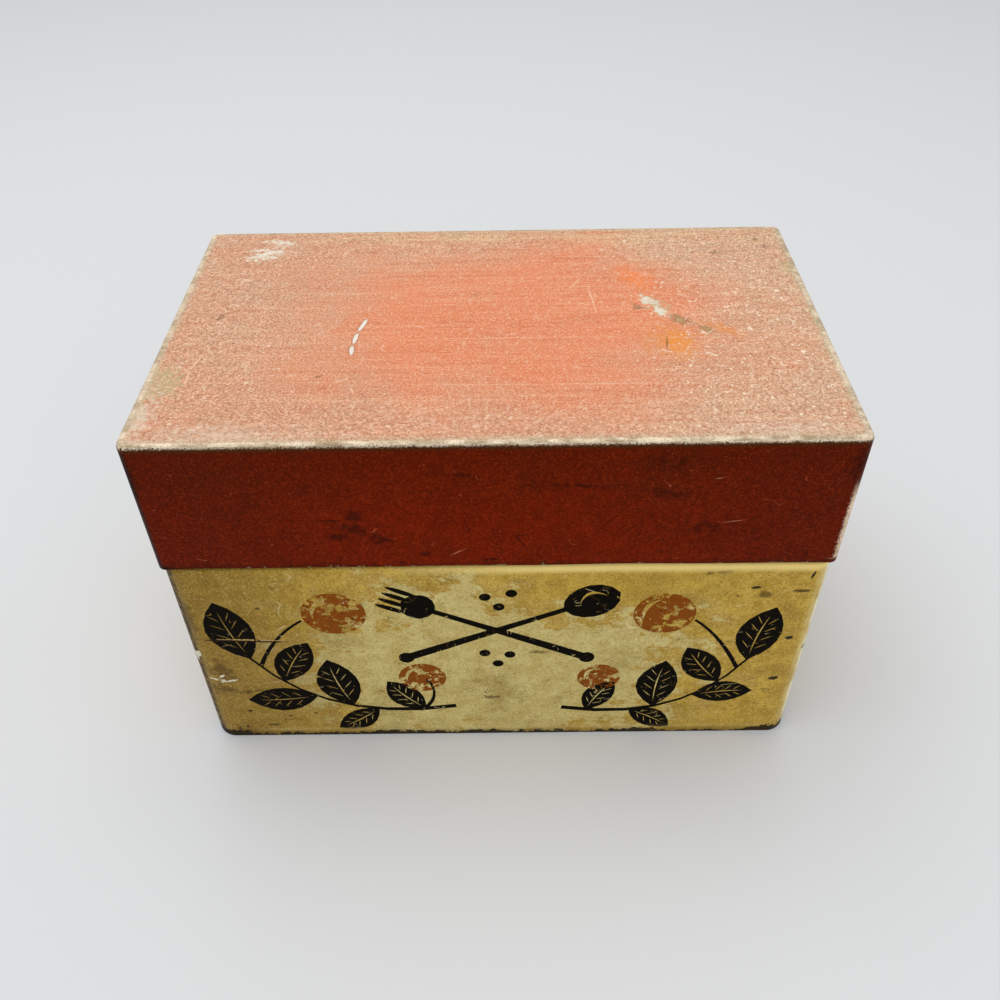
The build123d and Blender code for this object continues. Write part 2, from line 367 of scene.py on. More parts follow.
def body_print(name, ink=None, rubbed=0.5, shine=0.12):
    """The body's printed outside: base coat, any ink on it, then the wear of both."""
    paint = Finish(name)
    front = paint.rise(paint.y, FRONT_Y + 6, FRONT_Y + 3)
    grain = paint.clouds(GRAIN, 3.0, 0.74)

    # The varnish has flaked off an uneven field in the middle of the front; the left of the front
    # is darkened with painted shade.
    torn = paint.math("SUBTRACT", paint.clouds(7.0, 8.0, 0.66, (0.8, 1, 1.1)), 0.5)
    shaded = paint.math("SUBTRACT", 2.0, paint.oval((26, FRONT_Y, 55), (34, 9, 15)))
    field = paint.either(paint.oval((-1, FRONT_Y, 24), (38, 14, 27)), shaded)
    reach = paint.math("MULTIPLY_ADD", torn, 2.8, field)
    blotched = paint.rise(paint.clouds(4.5, 5.0, 0.62), 0.34, 0.66)
    flaked = paint.rise(reach, 1.06, 0.98)
    mustard = paint.coat(blotched, tone(178, 142, 52), tone(204, 168, 68))
    cream = paint.coat(blotched, tone(196, 175, 104), tone(212, 196, 130))
    shown = paint.coat(paint.both(paint.rise(reach, 1.42, 1.0), 0.45), mustard, cream)
    shown = paint.coat(paint.both(flaked, 0.84), shown, cream)
    rim = paint.both(paint.rise(reach, 1.24, 1.14), paint.rise(reach, 0.98, 1.06))
    shown = paint.coat(paint.both(rim, 0.45), shown, tone(176, 132, 40))
    dirty = paint.rise(paint.clouds(13.0, 5.0, 0.64), 0.50, 0.72)
    shown = paint.coat(paint.both(dirty, 0.40), shown, tone(122, 94, 36))
    # Painted shade: the left part of the front is darkened, as if turned away from the light.
    left = paint.rise(paint.x, -24, -60)
    shown = paint.coat(paint.both(left, front, 0.58), shown, tone(108, 78, 24))
    deep = paint.both(paint.rise(grain, 0.52, 0.30), paint.level(flaked, 0.62, 0.48))
    shown = paint.coat(deep, shown, tone(104, 78, 28))
    high = paint.both(paint.rise(grain, 0.52, 0.74), paint.level(flaked, 0.40, 0.60))
    shown = paint.coat(high, shown, tone(232, 214, 156))

    if ink:
        worn_ink = paint.rise(paint.clouds(2.4, 6.0, 0.7), 0.5 + rubbed, 0.54 + rubbed)
        cracked = paint.both(paint.hairs(3.0, 0.014, 0.40), 0.75)
        left_on = paint.math("SUBTRACT", 1.0, paint.either(worn_ink, cracked))
        thinned = (*[share * 1.2 for share in ink[:3]], 1)
        thin = paint.coat(paint.rise(grain, 0.36, 0.64), ink, thinned)
        shown = paint.coat(left_on, shown, thin)

    # Fine scratches, rubs on the other walls, dirt in the pores, and marks at set places.
    scuffs = paint.hairs(1.8, 0.018, 0.34)
    scuffs = paint.either(scuffs, paint.hairs(6.5, 0.006, 0.44, (0.3, 0.3, 1)))
    scuffed = paint.both(scuffs, paint.level(paint.both(left, front), 0.50, 0.22))
    shown = paint.coat(scuffed, shown, tone(240, 224, 172))
    shown = paint.coat(paint.both(paint.hairs(4.4, 0.010, 0.44), 0.50), shown, tone(84, 62, 24))
    handled_and_highlight = paint.rise(paint.y, FRONT_Y + 5, FRONT_Y + 9)
    dragged = paint.both(paint.hairs(6.0, 0.0034, 0.42, (0.10, 0.10, 1.0)), handled_and_highlight)
    shown = paint.coat(paint.both(dragged, 0.50), shown, tone(240, 226, 178))
    rubs = paint.both(paint.rise(paint.clouds(17.0, 7.0, 0.68), 0.56, 0.64), handled_and_highlight)
    shown = paint.coat(paint.both(rubs, 0.62), shown, cream)
    pores = paint.either(paint.specks(2.2, 0.44, 0.42), paint.specks(6.4, 1.0, 0.26))
    shown = paint.coat(paint.both(pores, 0.80), shown, tone(54, 38, 18))

    stains = front_marks(
        paint,
        (-61.2, 18.2, 4.0, 3.0, 12, 0.9, 1.2),
        (-57.0, 17.0, 6.0, 1.0, -3, 0.9, 1.4),
        (-61.0, 25.0, 3.4, 7.0, 0, 1.0, 1.2),
        (-64.8, 42.0, 2.6, 8.0, 0, 1.0, 1.2),
        (54.2, 47.5, 1.9, 1.4, 10, 0.6, 0.4),
        (44.5, 54.2, 4.4, 0.6, -8, 0.8, 1.2),
        (9.0, 30.0, 2.6, 0.7, 0, 0.6, 1.0),
        (-2.0, 14.0, 2.4, 0.8, 0, 0.8, 1.4),
        (-53.0, 34.7, 12.2, 0.60, 3.2, 0.6, 0.8),
    )
    shown = paint.coat(paint.both(stains, 0.68), shown, tone(74, 52, 22))
    chips = front_marks(
        paint,
        (52.2, 49.6, 1.2, 0.46, -4, 0.3, 0.3),
        (62.9, 53.3, 0.40, 1.2, 12, 0.3, 0.4),
        (61.6, 33.9, 0.8, 0.7, 20, 0.3, 0.7),
        (60.7, 20.1, 1.2, 0.8, -15, 0.3, 0.8),
        (-52.8, 34.6, 11.8, 0.30, 3.2, 0.3, 0.5),
        (-57.3, 9.8, 0.7, 0.5, 0, 0.3, 0.8),
    )
    on_corner = paint.mark((66.0, FRONT_Y + 2, 29.4), (0.8, 3, 0.7), (0, 0, 0), 0.3, 0.8)
    chips = paint.either(chips, on_corner)
    spots = (
        (61.5, 48.6, 2.2, 0.62),
        (65.0, 54.7, 1.0, 0.50),
        (65.4, 46.1, 0.5, 0.50),
        (-61.0, 2.8, 0.6, 1.1),
        (-59.1, 3.8, 0.6, 0.6),
        (-52.7, 4.4, 1.8, 0.45),
        (-48.4, 7.7, 0.6, 0.40),
        (-42.4, 8.7, 0.6, 0.35),
        (-49.4, 44.9, 0.6, 0.45),
    )
    spotted = front_marks(paint, *[(*spot, 0, 0.4, 0.35) for spot in spots])
    shown = paint.coat(paint.both(spotted, 0.85), shown, tone(70, 50, 22))
    nicks = front_marks(
        paint,
        (-62.4, 21.6, 1.9, 0.34, 16, 0.6, 2.0),
        (-60.2, 20.9, 1.5, 0.30, -12, 0.6, 2.0),
        (-61.4, 22.6, 1.2, 0.28, -38, 0.6, 2.0),
    )
    corner_nick = paint.mark((-65.2, FRONT_Y + 1, 29.3), (0.8, 4, 1.9), (0, 28, 0), 0.3, 0.9)
    nicks = paint.either(nicks, corner_nick)
    gouge = front_marks(paint, (-52.6, 34.95, 9.4, 0.28, 3.2, 0.5, 0.7))
    gouge = paint.both(gouge, paint.rise(paint.tatters, -0.12, -0.04))

    # The upright corners are rubbed pale, with a painted highlight down the right corner and
    # painted shade with grime down the left; a painted highlight runs along the shoulder; the foot
    # is grimy and chipped to rust.
    outer = paint.from_edge(0, 2 * SHOULDER_Z)
    edge = paint.math("MULTIPLY_ADD", paint.tatters, 1.6, outer)
    left_corner = paint.rise(paint.x, -50, -60)
    # Painted shade mixed with grime down the left upright corner, where the rounding turns away
    # from the light, and grime at the foot.
    grime_and_shade = paint.both(paint.rise(edge, 3.6, 1.6), left_corner, front)
    grime_and_shade = paint.either(paint.rise(paint.z, 3.2, 0.4), grime_and_shade)
    shown = paint.coat(paint.both(grime_and_shade, 0.52), shown, tone(92, 68, 28))
    upright = paint.both(paint.rise(paint.z, 1.5, 3.5), paint.level(left_corner, 1.0, 0.12))
    patchy = paint.rise(paint.clouds(6.0, 5.0, 0.66, (1, 1, 0.5)), 0.40, 0.56)
    patchy = paint.level(patchy, 0.25, 1.0)
    # Partly wear, partly painted highlight: a pale band down the upright corners, mostly the right
    # one, where the rounding catches the light.
    handled_and_highlight = paint.both(paint.rise(edge, 3.4, 2.0), upright, patchy, 0.70)
    shown = paint.coat(handled_and_highlight, shown, tone(224, 202, 134))
    across = paint.math("MULTIPLY_ADD", paint.tatters, 0.9, paint.math("ABSOLUTE", paint.x))
    back_from = paint.math("MULTIPLY_ADD", torn, 9.0, paint.y)
    at_front = paint.rise(back_from, FRONT_Y + 3.0, FRONT_Y + 2.2)
    # Painted highlight mixed with wear: a near-white line along the corners' outer edge, strongest
    # on the right.
    edge_highlight = paint.both(paint.rise(across, HALF_WIDTH - 1.7, HALF_WIDTH - 1.4), at_front)
    shown = paint.coat(paint.both(edge_highlight, upright, patchy, 0.90), shown, tone(246, 238, 206))
    # Painted shade: a near-black line down the left corner's edge, where the rounding turns away
    # from the light.
    soot_and_shade = paint.rise(across, HALF_WIDTH - 2.6, HALF_WIDTH - 1.9)
    soot_and_shade = paint.both(soot_and_shade, at_front, left_corner, paint.rise(paint.tatters, -0.10, 0.02))
    shown = paint.coat(paint.both(soot_and_shade, 0.85), shown, tone(50, 28, 14))
    # Painted highlight: a pale cream strip along the front's shoulder under the lid, where the
    # rounding catches the light.
    shoulder = paint.rise(paint.z, SHOULDER_Z - 2.6, SHOULDER_Z - 0.9)
    shoulder_highlight = paint.both(shoulder, paint.rise(paint.x, -30, 12))
    shown = paint.coat(paint.both(shoulder_highlight, 0.80), shown, tone(250, 222, 140))
    foot = paint.math("MULTIPLY_ADD", paint.tatters, 4.5, paint.z)
    foot = paint.math("MULTIPLY_ADD", torn, 4.5, foot)
    foot_ends = paint.rise(paint.from_sides()[1], 13, 1)
    worn_foot = paint.rise(foot, paint.level(foot_ends, 1.3, 2.6), paint.level(foot_ends, 1.0, 2.0))
    chips = paint.either(chips, worn_foot)
    shown = paint.coat(paint.both(chips, 0.95), shown, tone(32, 21, 12))

    # The collar, which the lid slides over, is scraped through to the tin in strokes.
    strokes = paint.rise(paint.clouds(3.5, 5.0, 0.7, (0.5, 0.5, 1.6)), 0.50, 0.60)
    scraped = paint.both(paint.rise(paint.z, SHOULDER_Z + 0.4, SHOULDER_Z + 1.4), strokes)
    bare = paint.either(nicks, scraped)
    shown = paint.coat(paint.both(gouge, 0.85), shown, tone(208, 174, 106))
    shown = paint.coat(bare, shown, tone(226, 218, 196))

    rough = paint.level(flaked, 0.36, 0.46)
    rough = paint.level(paint.either(grime_and_shade, dirty), rough, 0.55)
    height = paint.math("MULTIPLY_ADD", grain, 0.5, 1.0)
    height = paint.math("SUBTRACT", height, paint.either(chips, bare, paint.both(scuffs, 0.4)))
    paint.emboss(height, EMBOSS_DEPTH)
    paint.show(shown, rough, paint.both(scraped, 0.85), shine, tone(255, 232, 190))
    return paint


def on_curl(centre):
    """Whether a place is on one of the curls that turn round the hinge wire."""
    to_hinge = math.hypot(centre.y - HINGE_Y, centre.z - HINGE_Z)
    return to_hinge < CURL_RADIUS + 0.05 and centre.y > BACK_Y - SHEET / 2


def on_painted_side(centre, normal):
    """Whether a face of the body is on the printed side of the sheet."""
    if on_curl(centre):
        return False
    inward = normal.x * centre.x + normal.y * (centre.y - MIDDLE_Y) < 0
    in_well = FLOOR_Z - 0.4 < centre.z < COLLAR_TOP_Z - 3.0
    return not (inward and in_well)


body_finish = body_print("body_print")
body_inside = bare_tin("body_inside", tone(196, 192, 182), tone(164, 160, 150), tone(146, 124, 90))
body_shape = worked_sheet("body_wrap", body_low, body_high, body_dent)
for face in body_shape.faces:
    painted = on_painted_side(face.calc_center_median(), face.normal)
    face.material_index = 0 if painted else 1
body = finished_piece(body_shape, "body", [body_finish, body_inside], "box")
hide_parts("body_wrap")
even_shading(body)

# ------------------------------------------------------------------ the front's ornament
# Two leafy branches with round fruit, and a crossed spoon and fork between them, printed
# on the base coat in black and in a rust-brown ink that has half worn away.  The ink is a
# film a few hundredths of a millimetre thick that follows the dents of the wall.
INK_THICKNESS = 0.06
INK_PROUD = 0.02
CIRCLE_ARM = 0.5523
VEIN_SHARES = (0.22, 0.38, 0.54, 0.68)
HANDLE_WIDTHS = (2.2, 1.3)
HANDLE_END = 3.4


def lens(start, end, width, bend=0.0, fullness=0.36):
    """The outline of a shape with two points: a leaf, a vein, a stem or a fork's tine."""
    start, end = Vector(start), Vector(end)
    along = (end - start) * fullness
    aside = Vector((start.y - end.y, end.x - start.x)).normalized() / 0.75
    upper, lower = aside * (bend + width / 2), aside * (bend - width / 2)
    return [
        (start, start + along + lower, start + along + upper),
        (end, end - along + upper, end - along + lower),
    ]


def oval(centre, wide, tall):
    """The outline of a round or oval blob."""
    centre = Vector(centre)
    right, up = Vector((wide / 2, 0)), Vector((0, tall / 2))
    found = []
    for out, turn in ((right, up), (up, -right), (-right, -up), (-up, right)):
        arm = turn * CIRCLE_ARM
        found.append((centre + out, centre + out - arm, centre + out + arm))
    return found


def inked(shape, outlines):
    """Adds one flat patch of ink to a shape; an outline inside another is left bare."""
    curve = bpy.data.curves.new("outline", "CURVE")
    curve.dimensions = "2D"
    curve.fill_mode = "BOTH"
    curve.extrude = INK_THICKNESS / 2
    curve.resolution_u = 7
    for outline in outlines:
        spline = curve.splines.new("BEZIER")
        spline.bezier_points.add(len(outline) - 1)
        spline.use_cyclic_u = True
        for knot, (at, before, after) in zip(spline.bezier_points, outline):
            knot.co = (*at, 0)
            knot.handle_left = (*before, 0)
            knot.handle_right = (*after, 0)
    holder = bpy.data.objects.new("outline", curve)
    mesh = bpy.data.meshes.new_from_object(holder)
    shape.from_mesh(mesh)
    bpy.data.objects.remove(holder)
    bpy.data.curves.remove(curve)
    bpy.data.meshes.remove(mesh)


def leaf(shape, foot, angle, length, width, curl=0.06):
    """A smooth lance-shaped leaf with its midrib and side veins left bare."""
    along = Vector((math.cos(math.radians(angle)), math.sin(math.radians(angle))))
    aside = Vector((-along.y, along.x))
    foot = Vector(foot)

    def on_leaf(forward, sideways):
        return foot + along * forward * length + aside * sideways * width

    outlines = [lens(foot, on_leaf(1, 0), width, curl * width, 0.30)]
    outlines.append(lens(on_leaf(0.10, 0.01), on_leaf(0.86, curl * 0.5), 0.32, curl * 0.8 * width))
    for share in VEIN_SHARES:
        reach = 0.34 * math.sin(math.pi * (share * 0.9 + 0.14))
        for side in (-1, 1):
            start = on_leaf(share, curl * 0.8 + side * 0.06)
            end = on_leaf(share + 0.13, curl * 0.9 + side * reach)
            outlines.append(lens(start, end, 0.20))
    inked(shape, outlines)


def stem(shape, foot, mid, tip, foot_width, tip_width):
    """A bending stem that thins towards its tip; mid pulls it aside."""
    foot, mid, tip = Vector(foot), Vector(mid), Vector(tip)
    out_at_foot = Vector((foot.y - mid.y, mid.x - foot.x)).normalized() * foot_width / 2
    out_at_tip = Vector((mid.y - tip.y, tip.x - mid.x)).normalized() * tip_width / 2
    near_foot, near_tip = foot.lerp(mid, 0.6667), tip.lerp(mid, 0.6667)
    outline = [
        (foot - out_at_foot, foot - out_at_foot, near_foot - out_at_foot),
        (tip - out_at_tip, near_tip - out_at_tip, tip - out_at_tip),
        (tip + out_at_tip, tip + out_at_tip, near_tip + out_at_tip),
        (foot + out_at_foot, near_foot + out_at_foot, foot + out_at_foot),
    ]
    inked(shape, [outline])


def branch(shape, foot, mid, tip, leaves):
    """A stem with leaves at given shares of its length: (share, angle, length, width)."""
    stem(shape, foot, mid, tip, 1.3, 0.6)
    foot, mid, tip = Vector(foot), Vector(mid), Vector(tip)
    for share, angle, length, width in leaves:
        place = foot * (1 - share) ** 2 + mid * 2 * share * (1 - share) + tip * share**2
        leaf(shape, place, angle, length, width)


def fruit(shape, centre, size):
    """A round fruit with a bare crescent of light and a bare dimple."""
    x, z = centre

    def at(right, up):
        return x + size * right, z + size * up

    lit = lens(at(-0.33, -0.12), at(-0.05, 0.34), size * 0.08, size * 0.11)
    dimple = lens(at(0.02, -0.26), at(0.30, -0.20), size * 0.07, -size * 0.05)
    inked(shape, [oval(centre, size, size * 0.93), lit, dimple])


def spoon(shape, foot, tip):
    """A spoon from the end of its handle to the end of its bowl."""
    foot, tip = Vector(foot), Vector(tip)
    along = (tip - foot).normalized()
    neck = tip - along * 12.5
    stem(shape, foot, foot.lerp(neck, 0.5), neck + along * 1.2, *HANDLE_WIDTHS)
    inked(shape, [oval(foot, HANDLE_END, HANDLE_END)])
    bowl = lens(neck, tip, 9.2, 0.0, 0.10)
    inked(shape, [bowl, lens(neck + along * 3.6, tip - along * 2.6, 0.7, 2.3, 0.3)])


def fork(shape, foot, tip):
    """A fork with four tines, from the end of its handle to the points of the tines."""
    foot, tip = Vector(foot), Vector(tip)
    along = (tip - foot).normalized()
    aside = Vector((-along.y, along.x))
    root = tip - along * 8.0
    stem(shape, foot, foot.lerp(root, 0.5), root - along * 2.6, *HANDLE_WIDTHS)
    inked(shape, [oval(foot, HANDLE_END, HANDLE_END)])
    inked(shape, [lens(root - along * 4.2, root + along * 3.4, 7.4, 0.0, 0.16)])
    for offset in (-2.7, -0.9, 0.9, 2.7):
        start = root + along * (0.6 if abs(offset) > 1 else 1.6) + aside * offset
        inked(shape, [lens(start, tip + aside * offset * 1.05, 1.25, 0.0, 0.10)])


def on_front(shape):
    """Stands a flat shape upright and lays it on the dented front."""
    bmesh.ops.remove_doubles(shape, verts=shape.verts, dist=CUT_WITHIN)
    upright = Matrix.Rotation(math.pi / 2, 3, "X")
    bmesh.ops.rotate(shape, cent=(0, 0, 0), matrix=upright, verts=shape.verts)
    cut_in_grid(shape, body_low, body_high)
    for corner in shape.verts:
        x, y, z = corner.co
        behind = INK_THICKNESS / 2 - INK_PROUD
        corner.co.y = FRONT_Y + front_hollow(x, z) + behind + y


black = bmesh.new()
left_leaves = (
    (0.12, 128, 13.0, 7.0),
    (0.32, 216, 12.5, 6.6),
    (0.44, 104, 17.0, 9.4),
    (0.62, 184, 16.0, 8.4),
    (0.80, 62, 15.0, 8.2),
    (0.99, 104, 19.0, 10.0),
)
right_leaves = (
    (0.10, 60, 12.0, 6.6),
    (0.30, -34, 12.0, 6.4),
    (0.42, 84, 16.5, 9.2),
    (0.64, 6, 13.5, 7.4),
    (0.80, 124, 14.5, 8.0),
    (0.99, 78, 17.5, 9.4),
)
branch(black, (-10, 11), (-40, 5), (-54, 29), left_leaves)
branch(black, (14, 10), (42, 4), (54, 27), right_leaves)
stem(black, (-52, 26), (-48, 36), (-41, 41), 1.0, 0.6)
stem(black, (52, 24), (47, 35), (41, 40), 1.0, 0.6)
stem(black, (-17, 10.4), (-13, 15), (-16, 21), 1.0, 0.6)
spoon(black, (-20, 28.5), (25, 48.5))
fork(black, (19, 28), (-24, 48.5))
for centre in ((-2.6, 47.6), (2.8, 48.6), (0.2, 44.6), (-3.0, 29.8), (2.4, 29.2), (-0.2, 26.2)):
    inked(black, [oval(centre, 2.4, 2.2)])
on_front(black)
black_ink = body_print("black_ink", tone(10, 7, 4), 0.19, 0.03)
finished_piece(black, "ornament_black", [black_ink], "box")

rust = bmesh.new()
for x, z, size in ((-34.0, 43.0, 13.5), (-17.0, 21.5, 10.5), (34.5, 42.0, 13.0), (22.0, 21.0, 9.5)):
    fruit(rust, (x, z), size)
on_front(rust)
rust_ink = body_print("rust_ink", tone(128, 66, 8), 0.03, 0.06)
finished_piece(rust, "ornament_rust", [rust_ink], "box")

# ------------------------------------------------------------------ the base plate
# A pressed pan whose flange is caught in the fold at the foot of the wrap.  It was never
# printed: bare tin, dulled by the shelf below and by crumbs and damp above.
pan_finish = bare_tin("pan_tin", tone(186, 182, 172), tone(150, 146, 137), tone(132, 110, 78))
frame["nodes"]["base_plate"].material_slots[0].material = pan_finish.material

# ------------------------------------------------------------------ the hinge wire
# Drawn steel wire, pushed through the five curls before the barrel's ends were nipped in.
# Only its skin shows, in the gaps between the curls: draw lines, oil and a little rust.
wire_finish = Finish("drawn_wire")
draw_lines = wire_finish.clouds(0.35, 3.0, 0.6, (0.03, 1, 1))
oily = wire_finish.rise(wire_finish.clouds(5.0, 4.0, 0.65), 0.45, 0.65)
steel = wire_finish.coat(draw_lines, tone(122, 120, 116), tone(176, 173, 166))
steel = wire_finish.coat(wire_finish.both(oily, 0.6), steel, tone(88, 66, 46))
wire_finish.emboss(draw_lines, 0.01)
wire_finish.show(steel, wire_finish.level(oily, 0.3, 0.55), wire_finish.level(oily, 1.0, 0.6))
frame["nodes"]["hinge_wire"].material_slots[0].material = wire_finish.material

# ------------------------------------------------------------------ the lid
# One folded blank, printed brick red outside.  Its skirts keep their deep colour, while the top has
# faded to salmon and is scuffed all over, and its bends are rubbed to bare tin.  The top's salmon
# is partly a painted sheen, and the bends' bare tin is painted bright as a highlight.
LID_EDGE_Z = SHOULDER_Z + 0.3
LID_HEM_Z = LID_EDGE_Z + 3.2
TOP_Z = lid_high.z
SKIRT_SLOT, INSIDE_SLOT, TOP_SLOT = range(3)


def lid_dent(place):
    """Where a point of the lid lies: the skirts are a little wavy and the top sags."""
    x, y, z = place
    hanging = swell(TOP_Z - 2 - z, 16)
    if z > TOP_Z - 1.2:
        sag = swell(HALF_WIDTH - abs(x), 22) * swell(y - FRONT_Y, 18) * swell(BACK_Y - y, 18)
        return Vector((x, y, z - sag * (0.22 + 0.14 * ripple(x, y, 5.3, 34))))
    if y < FRONT_Y + 1:
        push = swell(HALF_WIDTH - abs(x), 10) * hanging * (0.18 + 0.14 * ripple(x, 0, 1.7, 22))
        lift = swell(HALF_WIDTH - abs(x), 10) * swell(LID_HEM_Z + 4 - z, 8) * 0.12
        lift *= 1 + ripple(x, 0, 9.2, 17)
        return Vector((x, y + push, z + lift))
    if y > BACK_Y - 1:
        push = swell(HALF_WIDTH - abs(x), 10) * swell(TOP_Z - 2 - z, 8) * swell(z - LID_HEM_Z, 10)
        return Vector((x, y - push * (0.10 + 0.10 * ripple(x, z, 2.9, 26)), z))
    if abs(x) > HALF_WIDTH - 1:
        side = math.copysign(1, x)
        push = swell(y - FRONT_Y, 10) * swell(BACK_Y - y, 10) * hanging
        return Vector((x - side * push * (0.16 + 0.12 * ripple(y, 0, 4.4 * side, 20)), y, z))
    return place


def worn_bends(paint, shown):
    """Bare tin along the top's bends and down the right corner, painted brighter than the tin as a
    highlight, with painted shade mixed with grime beside it.
    """
    outer = paint.from_edge(LID_EDGE_Z, TOP_Z)
    speckle = paint.math("SUBTRACT", paint.clouds(0.30, 2.0, 0.7), 0.5)
    edge = paint.math("MULTIPLY_ADD", speckle, 2.6, outer)
    at_sides = paint.rise(paint.math("ABSOLUTE", paint.x), HALF_WIDTH - 4, HALF_WIDTH - 1.5)
    frayed = paint.math("MULTIPLY_ADD", paint.tatters, 0.8, edge)
    frayed = paint.math("MULTIPLY_ADD", at_sides, -0.6, frayed)
    below = paint.math("SUBTRACT", TOP_Z, paint.z)
    below = paint.math("MULTIPLY_ADD", paint.tatters, 0.5, below)
    below = paint.math("MULTIPLY_ADD", speckle, 2.2, below)
    # Painted shade mixed with grime: a dark band just under the top's rounded bends.
    shade_fringe = paint.both(paint.rise(below, 2.1, 0.9), paint.rise(below, 0.3, 0.7))
    shade_fringe = paint.both(shade_fringe, paint.rise(outer, 4, 3))
    shown = paint.coat(paint.both(shade_fringe, 0.80), shown, tone(62, 40, 18))
    soot_and_shade = paint.both(paint.rise(frayed, 0.9, 0.5), paint.rise(paint.x, -60, -66))
    soot_and_shade = paint.both(soot_and_shade, paint.rise(below, 1.0, 2.0))
    shown = paint.coat(paint.both(soot_and_shade, 0.8), shown, tone(24, 13, 7))

    bend = paint.both(paint.rise(below, 1.0, 0.5), paint.rise(frayed, 1.15, 0.65))
    upright = paint.both(paint.rise(frayed, 0.95, 0.50), paint.rise(paint.x, 60, 66))
    upright = paint.both(upright, paint.rise(paint.z, LID_EDGE_Z + 1.0, LID_EDGE_Z + 1.8))
    rubbed = paint.either(bend, paint.both(upright, paint.rise(paint.z, 79, 72)))
    dull = paint.rise(paint.clouds(3.6, 6.0, 0.72, (0.5, 1, 1)), 0.40, 0.62)
    dull = paint.both(dull, paint.level(at_sides, 1.0, 0.75))
    # Painted highlight: the rubbed tin on the bends is painted brighter than bare tin.
    worn_tin_highlight = paint.coat(dull, tone(252, 234, 206), tone(178, 156, 126))
    pitted = paint.both(paint.rise(speckle, 0.04, -0.16), paint.level(at_sides, 0.65, 0.60))
    worn_tin_highlight = paint.coat(pitted, worn_tin_highlight, tone(150, 128, 96))
    return paint.coat(rubbed, shown, worn_tin_highlight), rubbed


def skirt_print(name):
    """The lid's four skirts: brick red, smoked and smudged, a little brighter in front."""
    paint = Finish(name)
    grain = paint.clouds(GRAIN, 3.0, 0.62)
    mottled = paint.rise(paint.clouds(3.0, 6.0, 0.68), 0.36, 0.64)
    brick = paint.coat(mottled, tone(104, 22, 0), tone(119, 26, 1))
    toward_end = paint.rise(paint.math("ABSOLUTE", paint.x), 20, 60)
    brick = paint.coat(paint.both(toward_end, 0.60), brick, tone(84, 19, 1))
    toward_top = paint.rise(paint.z, 68, TOP_Z)
    brick = paint.coat(paint.both(toward_top, 0.55), brick, tone(78, 18, 1))
    smoked = paint.rise(paint.clouds(18.0, 5.0, 0.62), 0.50, 0.74)
    brick = paint.coat(paint.both(smoked, 0.30), brick, tone(62, 24, 4))
    brick = paint.coat(paint.both(paint.rise(grain, 0.50, 0.30), 0.60), brick, tone(50, 12, 0))
    brick = paint.coat(paint.both(paint.rise(grain, 0.52, 0.70), 0.46), brick, tone(152, 54, 12))
    smudges = front_marks(
        paint,
        (-27.4, 70.6, 3.0, 2.2, 60, 1.0, 1.4),
        (-26.6, 67.4, 4.0, 2.2, 30, 1.0, 1.4),
        (-30.6, 65.2, 4.2, 2.0, -10, 1.1, 1.5),
        (-22.4, 64.2, 3.2, 1.9, 30, 1.0, 1.4),
        (-31.0, 69.4, 3.4, 0.4, 0, 0.9, 1.0),
        (-5.4, 80.4, 3.4, 0.8, 8, 0.9, 1.2),
        (22.0, 69.0, 8.0, 0.20, -50, 0.8, 0.5),
        (26.0, 67.0, 7.0, 0.16, -46, 0.8, 0.5),
        (30.5, 68.0, 6.0, 0.16, 44, 0.8, 0.5),
        (19.5, 77.2, 0.9, 0.8, 0, 0.8, 1.0),
        (31.0, 75.6, 6.0, 1.8, 6, 1.4, 1.5),
        (40.0, 66.8, 11.0, 4.4, 8, 1.8, 1.4),
        (31.0, 83.0, 9.0, 3.0, 0, 1.8, 1.4),
        (16.0, 77.5, 7.5, 0.7, 3, 0.9, 1.2),
        (-13.8, 60.2, 1.6, 0.8, 0, 0.9, 1.0),
        (-0.8, 58.6, 2.8, 0.8, 0, 0.9, 1.0),
        (-66.4, 80.0, 2.4, 9.0, 0, 1.0, 0.8),
        (66.0, 82.0, 3.0, 6.0, 0, 0.9, 0.8),
    )
    brick = paint.coat(paint.both(smudges, 0.66), brick, tone(34, 11, 6))
    nicks = paint.either(paint.hairs(4.4, 0.008, 0.34), paint.specks(3.4, 0.30, 0.20))
    brick = paint.coat(paint.both(nicks, 0.50), brick, tone(190, 96, 58))
    dark_hairs = paint.hairs(6.0, 0.008, 0.44, (0.5, 1, 1))
    brick = paint.coat(paint.both(dark_hairs, 0.55), brick, tone(36, 9, 4))
    scratches = front_marks(
        paint,
        (40.6, 79.0, 1.3, 0.16, -12, 0.8, 0.8),
        (45.0, 68.2, 3.4, 0.16, -8, 0.8, 0.9),
        (-7.6, 60.6, 2.2, 0.16, -30, 0.8, 0.9),
    )
    brick = paint.coat(paint.both(scratches, 0.45), brick, tone(226, 156, 120))
    hem = paint.math("SUBTRACT", paint.z, LID_EDGE_Z)
    hem = paint.math("MULTIPLY_ADD", paint.tatters, 5.0, hem)
    worn_hem = paint.rise(hem, 0.1, -0.1)
    brick = paint.coat(paint.both(paint.rise(hem, 1.8, 0.2), 0.5), brick, tone(40, 13, 4))
    brick = paint.coat(paint.both(worn_hem, 0.85), brick, tone(134, 112, 84))
    shown, rubbed = worn_bends(paint, brick)
    height = paint.math("MULTIPLY_ADD", grain, 0.5, 0.5)
    paint.emboss(paint.math("SUBTRACT", height, nicks), EMBOSS_DEPTH)
    rough = paint.level(smudges, 0.42, 0.60)
    paint.show(shown, rough, paint.both(rubbed, 0.35), 0.07, tone(255, 150, 70))
    return paint


def top_marks(paint, *rows):
    """Marks on the top: x, y, half width, half depth, turn, softness, raggedness."""
    return paint.either(
        *[
            paint.mark((x, y, TOP_Z), (wide, deep, MARK_DEPTH), (0, 0, turn), soft, ragged)
            for x, y, wide, deep, turn, soft, ragged in rows
        ]
    )


